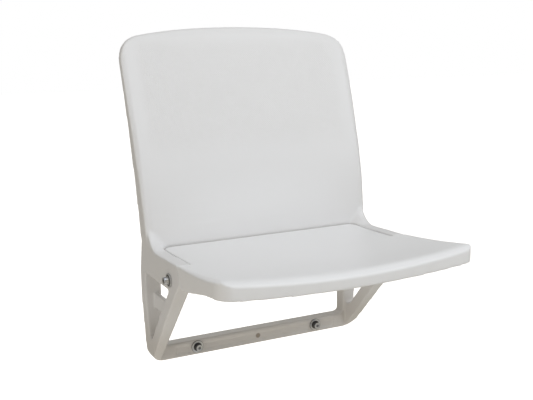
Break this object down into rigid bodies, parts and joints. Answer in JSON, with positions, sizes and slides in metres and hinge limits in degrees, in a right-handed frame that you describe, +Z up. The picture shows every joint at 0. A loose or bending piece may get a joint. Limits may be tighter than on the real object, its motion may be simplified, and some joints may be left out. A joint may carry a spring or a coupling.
{
  "type": "tip-up stadium seat",
  "caption": "Moulded plastic stadium seat with a tall concave backrest, side brackets and a wall-bolted cross bar; its dished seat pan tips up about a hinge between the arms.",
  "frame": {"origin": "on the flat rear face of the cross bar, in the middle between the two wall bolts", "axes": "+X to the sitter's left, which is a viewer's right; +Y into the wall, so the seat faces -Y; +Z up"},
  "size_m": [0.4712, 0.4729, 0.608],
  "materials": {
    "shell": "satin moulded, fine diamond grain on the front of the backrest",
    "seat": "satin moulded",
    "cover": "matt moulded",
    "zinc": "bright zinc plating",
    "bush": "plain nylon",
    "buffer": "matt"
  },
  "bodies": {
    "wall_side": {"back_frame": "shell", "wall_bolt_left": "zinc", "wall_washer_left": "zinc", "pivot_bolt_left": "zinc", "pivot_washer_left": "zinc", "pivot_nut_left": "zinc", "pivot_bush_left": "bush", "stop_buffer_left": "buffer", "wall_bolt_right": "zinc", "wall_washer_right": "zinc", "pivot_bolt_right": "zinc", "pivot_washer_right": "zinc", "pivot_nut_right": "zinc", "pivot_bush_right": "bush", "stop_buffer_right": "buffer"},
    "seat_side": {"seat_pan": "seat", "seat_cover": "cover", "cover_screw_rear_left": "zinc", "cover_screw_rear_right": "zinc", "cover_screw_mid_left": "zinc", "cover_screw_mid_right": "zinc", "cover_screw_front_left": "zinc", "cover_screw_front_right": "zinc"}
  },
  "joints": [
    {"name": "seat_hinge", "type": "hinge", "parent": "wall_side", "child": "seat_side", "pos_m": [0, -0.155, 0.178], "axis": [-1, 0, 0], "range_deg": [0, 82]}
  ]
}
